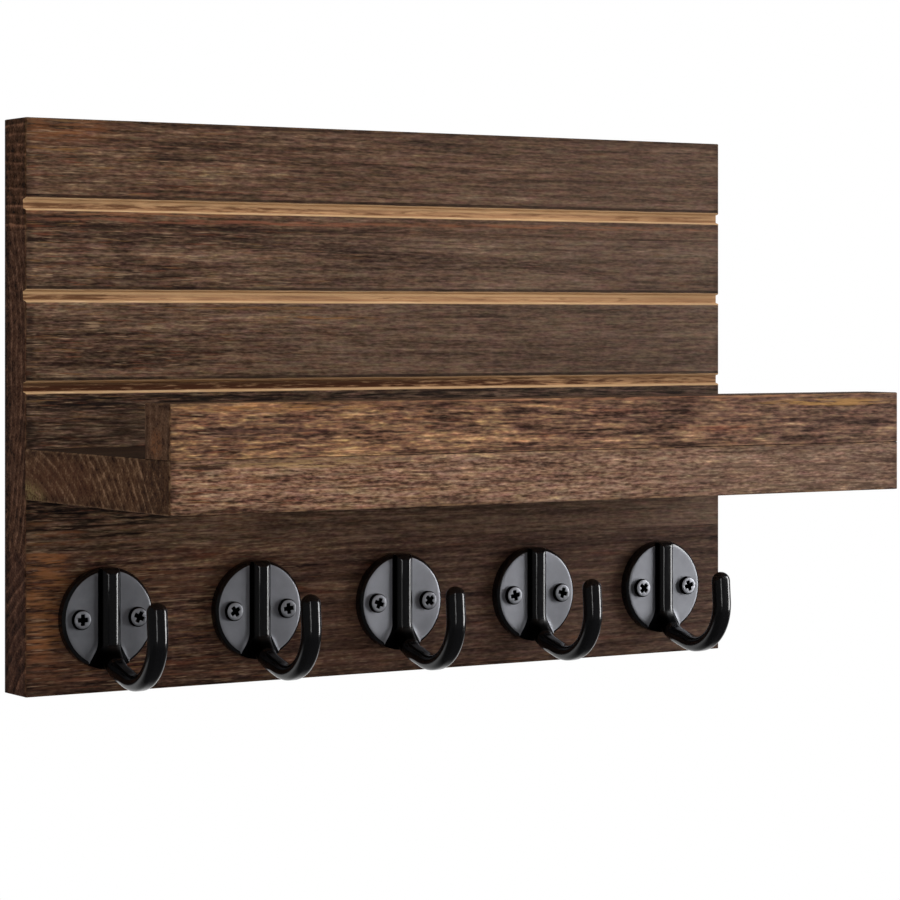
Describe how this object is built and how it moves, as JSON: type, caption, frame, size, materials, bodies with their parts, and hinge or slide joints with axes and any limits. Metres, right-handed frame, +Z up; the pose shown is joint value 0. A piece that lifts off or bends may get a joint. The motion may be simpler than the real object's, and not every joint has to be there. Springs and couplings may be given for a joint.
{
  "type": "wall mail organizer",
  "caption": "Wooden wall rack with an open-ended letter tray above a row of round-based coat hooks, grooved to look like stacked planks.",
  "frame": {"origin": "centre of the backboard's back face, which rests on the wall", "axes": "+X to the right along the length, +Y into the wall, +Z up"},
  "size_m": [0.3, 0.1248, 0.2],
  "materials": {
    "wood_backboard": "light softwood with a torched, brushed and oiled dark surface, matt to satin",
    "wood_tray": "the same torched softwood, lighter and warmer, matt to satin",
    "black_enamel": "gloss black enamel on cast zinc",
    "black_screw": "satin black on steel",
    "plated_screw": "bright zinc plate"
  },
  "bodies": {
    "root": {"backboard_top": "wood_backboard", "backboard_middle": "wood_backboard", "backboard_bottom": "wood_backboard", "shelf_board": "wood_tray", "front_lip": "wood_tray", "hook_1": "black_enamel", "hook_2": "black_enamel", "hook_3": "black_enamel", "hook_4": "black_enamel", "hook_5": "black_enamel", "hook_screws": "black_screw", "shelf_screws": "plated_screw", "lip_screws": "plated_screw"}
  },
  "joints": []
}
